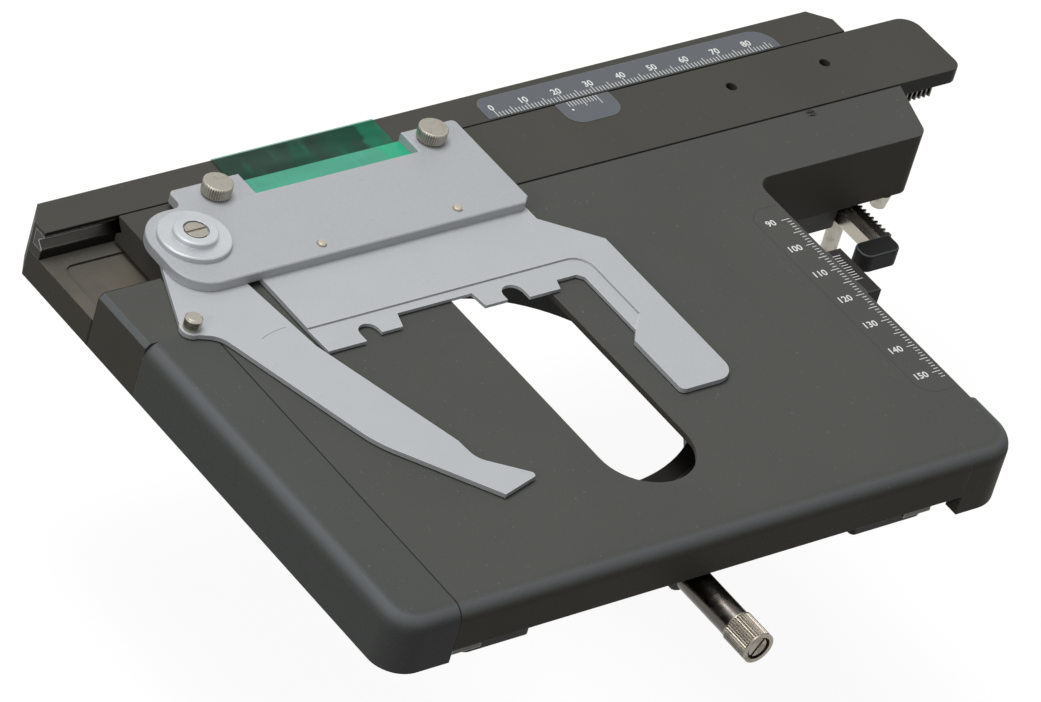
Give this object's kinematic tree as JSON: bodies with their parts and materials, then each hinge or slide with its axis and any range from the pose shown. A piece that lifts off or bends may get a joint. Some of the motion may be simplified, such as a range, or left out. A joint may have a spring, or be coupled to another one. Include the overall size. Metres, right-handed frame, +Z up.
{
  "type": "mechanical microscope stage",
  "caption": "Two-axis mechanical microscope stage with a sprung specimen holder, scales, coaxial drive knobs and a clamp for a round stand bore.",
  "frame": {"origin": "on the optical axis, at the base's flat seat face", "axes": "+Z up along the optical axis, +X to the user's right along the cross travel, +Y to the rear"},
  "size_m": [0.2638, 0.1814, 0.098],
  "materials": {
    "stage_paint": "fine matte grey-green",
    "black_paint": "satin black",
    "ground_steel": "ground",
    "dark_screws": "blackened",
    "holder_aluminium": "satin, anodised",
    "finger_aluminium": "satin, anodised",
    "nickel": "dull nickel plate",
    "brass": "machined",
    "scale_grey": "blue-grey, with white filled graduations",
    "knob_black": "fluted",
    "green_film": "clear film"
  },
  "bodies": {
    "base": {"base_plate": "black_paint", "y_way_fixed_left": "ground_steel", "y_way_fixed_right": "ground_steel", "y_way_fixed_screws": "dark_screws", "y_guide_bar": "ground_steel", "y_guide_bar_screws": "dark_screws", "y_rack": "ground_steel", "guide_end_cap": "black_paint", "y_vernier_block": "scale_grey", "y_vernier_screws": "dark_screws"},
    "y_stage": {"top_plate": "stage_paint", "left_cover": "stage_paint", "right_cover": "stage_paint", "left_cover_screws": "dark_screws", "right_cover_screws": "dark_screws", "rear_rail": "stage_paint", "rail_screws": "dark_screws", "x_way_rear": "ground_steel", "x_way_screws": "dark_screws", "x_gib": "brass", "x_gib_screws": "brass", "x_scale_plate": "scale_grey", "y_way_moving_left": "ground_steel", "y_way_moving_right": "ground_steel", "y_way_moving_screws": "dark_screws", "drive_bearing": "finger_aluminium", "bearing_screw": "nickel", "block_screw": "nickel"},
    "x_slide": {"slide_bar": "stage_paint", "x_rack": "ground_steel", "x_rack_screws": "dark_screws", "x_vernier_plate": "scale_grey", "finger_plate": "finger_aluminium", "holder_plate": "holder_aluminium", "holder_rivets": "nickel", "film_strip": "green_film", "spring_housing": "nickel", "pivot_screw": "nickel", "lever_spring": "ground_steel"},
    "lever": {"lever": "holder_aluminium", "lever_pin": "nickel"},
    "thumbscrew_left": {"thumbscrew_left": "nickel"},
    "thumbscrew_right": {"thumbscrew_right": "nickel"},
    "clamp_pad": {"clamp_pad": "brass"},
    "clamp_screw": {"clamp_spindle": "ground_steel", "clamp_sleeve": "nickel", "clamp_cap_screw": "nickel"},
    "y_drive": {"y_sleeve": "nickel", "y_pinion": "brass", "y_knob": "knob_black"},
    "x_drive": {"x_shaft": "ground_steel", "x_pinion": "brass", "x_knob": "knob_black"},
    "x_cage": {"x_cage": "brass", "x_rollers": "ground_steel"},
    "y_cage_left": {"y_cage_left": "brass", "y_rollers_left": "ground_steel"},
    "y_cage_right": {"y_cage_right": "brass", "y_rollers_right": "ground_steel"}
  },
  "joints": [
    {"name": "y_travel", "type": "slide", "parent": "base", "child": "y_stage", "axis": [0, 1, 0], "range_m": [-0.015, 0.04]},
    {"name": "x_travel", "type": "slide", "parent": "y_stage", "child": "x_slide", "axis": [1, 0, 0], "range_m": [-0.02, 0.056]},
    {"name": "y_knob_turn", "type": "hinge", "parent": "y_stage", "child": "y_drive", "pos_m": [0.13585, 0.041, 0], "axis": [0, 0, 1], "range_deg": [-144, 383]},
    {"name": "x_knob_turn", "type": "hinge", "parent": "y_stage", "child": "x_drive", "pos_m": [0.13585, 0.041, 0], "axis": [0, 0, 1], "range_deg": [-402, 144]},
    {"name": "x_cage_travel", "type": "slide", "parent": "y_stage", "child": "x_cage", "axis": [1, 0, 0], "range_m": [-0.01, 0.028]},
    {"name": "y_cage_left_travel", "type": "slide", "parent": "base", "child": "y_cage_left", "axis": [0, 1, 0], "range_m": [-0.0075, 0.02]},
    {"name": "y_cage_right_travel", "type": "slide", "parent": "base", "child": "y_cage_right", "axis": [0, 1, 0], "range_m": [-0.0075, 0.02]},
    {"name": "lever_swing", "type": "hinge", "parent": "x_slide", "child": "lever", "pos_m": [-0.0635, 0.0531, 0.0249], "axis": [0, 0, 1], "range_deg": [-25, 0], "stiffness_Nm_per_rad": 0.02, "springref_deg": 20.05},
    {"name": "thumbscrew_left_turn", "type": "hinge", "parent": "x_slide", "child": "thumbscrew_left", "pos_m": [-0.0486, 0.0658, 0.0283], "axis": [0, 0, 1], "continuous": true},
    {"name": "thumbscrew_right_turn", "type": "hinge", "parent": "x_slide", "child": "thumbscrew_right", "pos_m": [0.0149, 0.0658, 0.0283], "axis": [0, 0, 1], "continuous": true},
    {"name": "clamp_advance", "type": "slide", "parent": "base", "child": "clamp_pad", "axis": [0, 1, 0], "range_m": [0, 0.00075]},
    {"name": "clamp_turn", "type": "hinge", "parent": "clamp_pad", "child": "clamp_screw", "pos_m": [0, -0.0675, 0.0058], "axis": [0, 1, 0], "range_deg": [0, 360]}
  ],
  "couplings": [
    {"joint": "y_knob_turn", "follows": "y_travel", "rad_per_m": 166.67},
    {"joint": "x_knob_turn", "follows": "x_travel", "rad_per_m": -125},
    {"joint": "x_cage_travel", "follows": "x_travel", "ratio": 0.5},
    {"joint": "y_cage_left_travel", "follows": "y_travel", "ratio": 0.5},
    {"joint": "y_cage_right_travel", "follows": "y_travel", "ratio": 0.5},
    {"joint": "clamp_turn", "follows": "clamp_advance", "rad_per_m": 8377.6}
  ]
}
